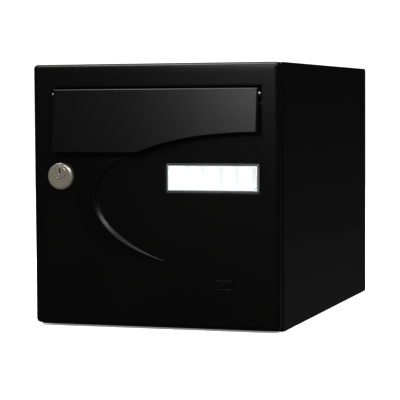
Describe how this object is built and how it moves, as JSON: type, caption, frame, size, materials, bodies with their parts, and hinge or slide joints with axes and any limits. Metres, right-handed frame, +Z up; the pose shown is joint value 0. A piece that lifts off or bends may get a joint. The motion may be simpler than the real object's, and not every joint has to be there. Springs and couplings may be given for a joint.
{
  "type": "wall mounted mailbox",
  "caption": "Deep box-shaped steel mailbox for a wall, with a hinged front door, a sprung letter flap, a name window and a cam lock.",
  "frame": {"origin": "centre of the four wall holes, on the back face that rests on the wall", "axes": "+Z up, -Y out of the wall towards the person at the door, +X to that person's right"},
  "size_m": [0.282, 0.4475, 0.29],
  "materials": {
    "black_coat": "satin black powder coat on steel sheet",
    "flap_coat": "satin black powder coat on steel sheet",
    "zinc_steel": "bright zinc plated steel",
    "satin_nickel": "satin nickel",
    "brass": "stamped brass",
    "rubber": "matt black rubber",
    "black_plastic": "matt black moulding",
    "clear_plastic": "clear glossy plastic",
    "card": "plain white card"
  },
  "bodies": {
    "casing": {"casing_wrap": "black_coat", "left_side_panel": "black_coat", "right_side_panel": "black_coat", "door_frame_collar": "black_coat", "upper_hinge_frame_leaf": "black_coat", "lower_hinge_frame_leaf": "black_coat", "upper_hinge_pin": "zinc_steel", "lower_hinge_pin": "zinc_steel", "lock_strike": "black_coat"},
    "door": {"door_panel": "black_coat", "upper_hinge_door_leaf": "black_coat", "lower_hinge_door_leaf": "black_coat", "flap_bracket_left": "black_coat", "flap_bracket_right": "black_coat", "flap_rod": "zinc_steel", "flap_rod_clips": "zinc_steel", "flap_spring_left": "zinc_steel", "flap_spring_right": "zinc_steel", "flap_buffers": "rubber", "door_bumpers": "rubber", "name_window": "clear_plastic", "name_card": "card", "name_card_holder": "black_plastic", "lock_housing": "satin_nickel", "lock_gasket": "rubber", "lock_nut": "zinc_steel"},
    "flap": {"flap_plate": "flap_coat"},
    "lock_cylinder": {"lock_plug": "satin_nickel", "lock_wafers": "brass", "lock_cam": "zinc_steel", "cam_washer": "zinc_steel", "cam_screw": "zinc_steel"}
  },
  "joints": [
    {"name": "door_hinge", "type": "hinge", "parent": "casing", "child": "door", "pos_m": [0.1385, -0.418, 0], "axis": [0, 0, 1], "range_deg": [0, 100]},
    {"name": "flap_hinge", "type": "hinge", "parent": "door", "child": "flap", "pos_m": [0.0029, -0.4352, 0.1112], "axis": [-1, 0, 0], "range_deg": [0, 80], "stiffness_Nm_per_rad": 0.03, "springref_deg": -28.65, "deforming": ["flap_spring_left", "flap_spring_right"]},
    {"name": "lock_turn", "type": "hinge", "parent": "door", "child": "lock_cylinder", "pos_m": [-0.108, -0.432, 0.0264], "axis": [0, 1, 0], "range_deg": [0, 90]}
  ]
}
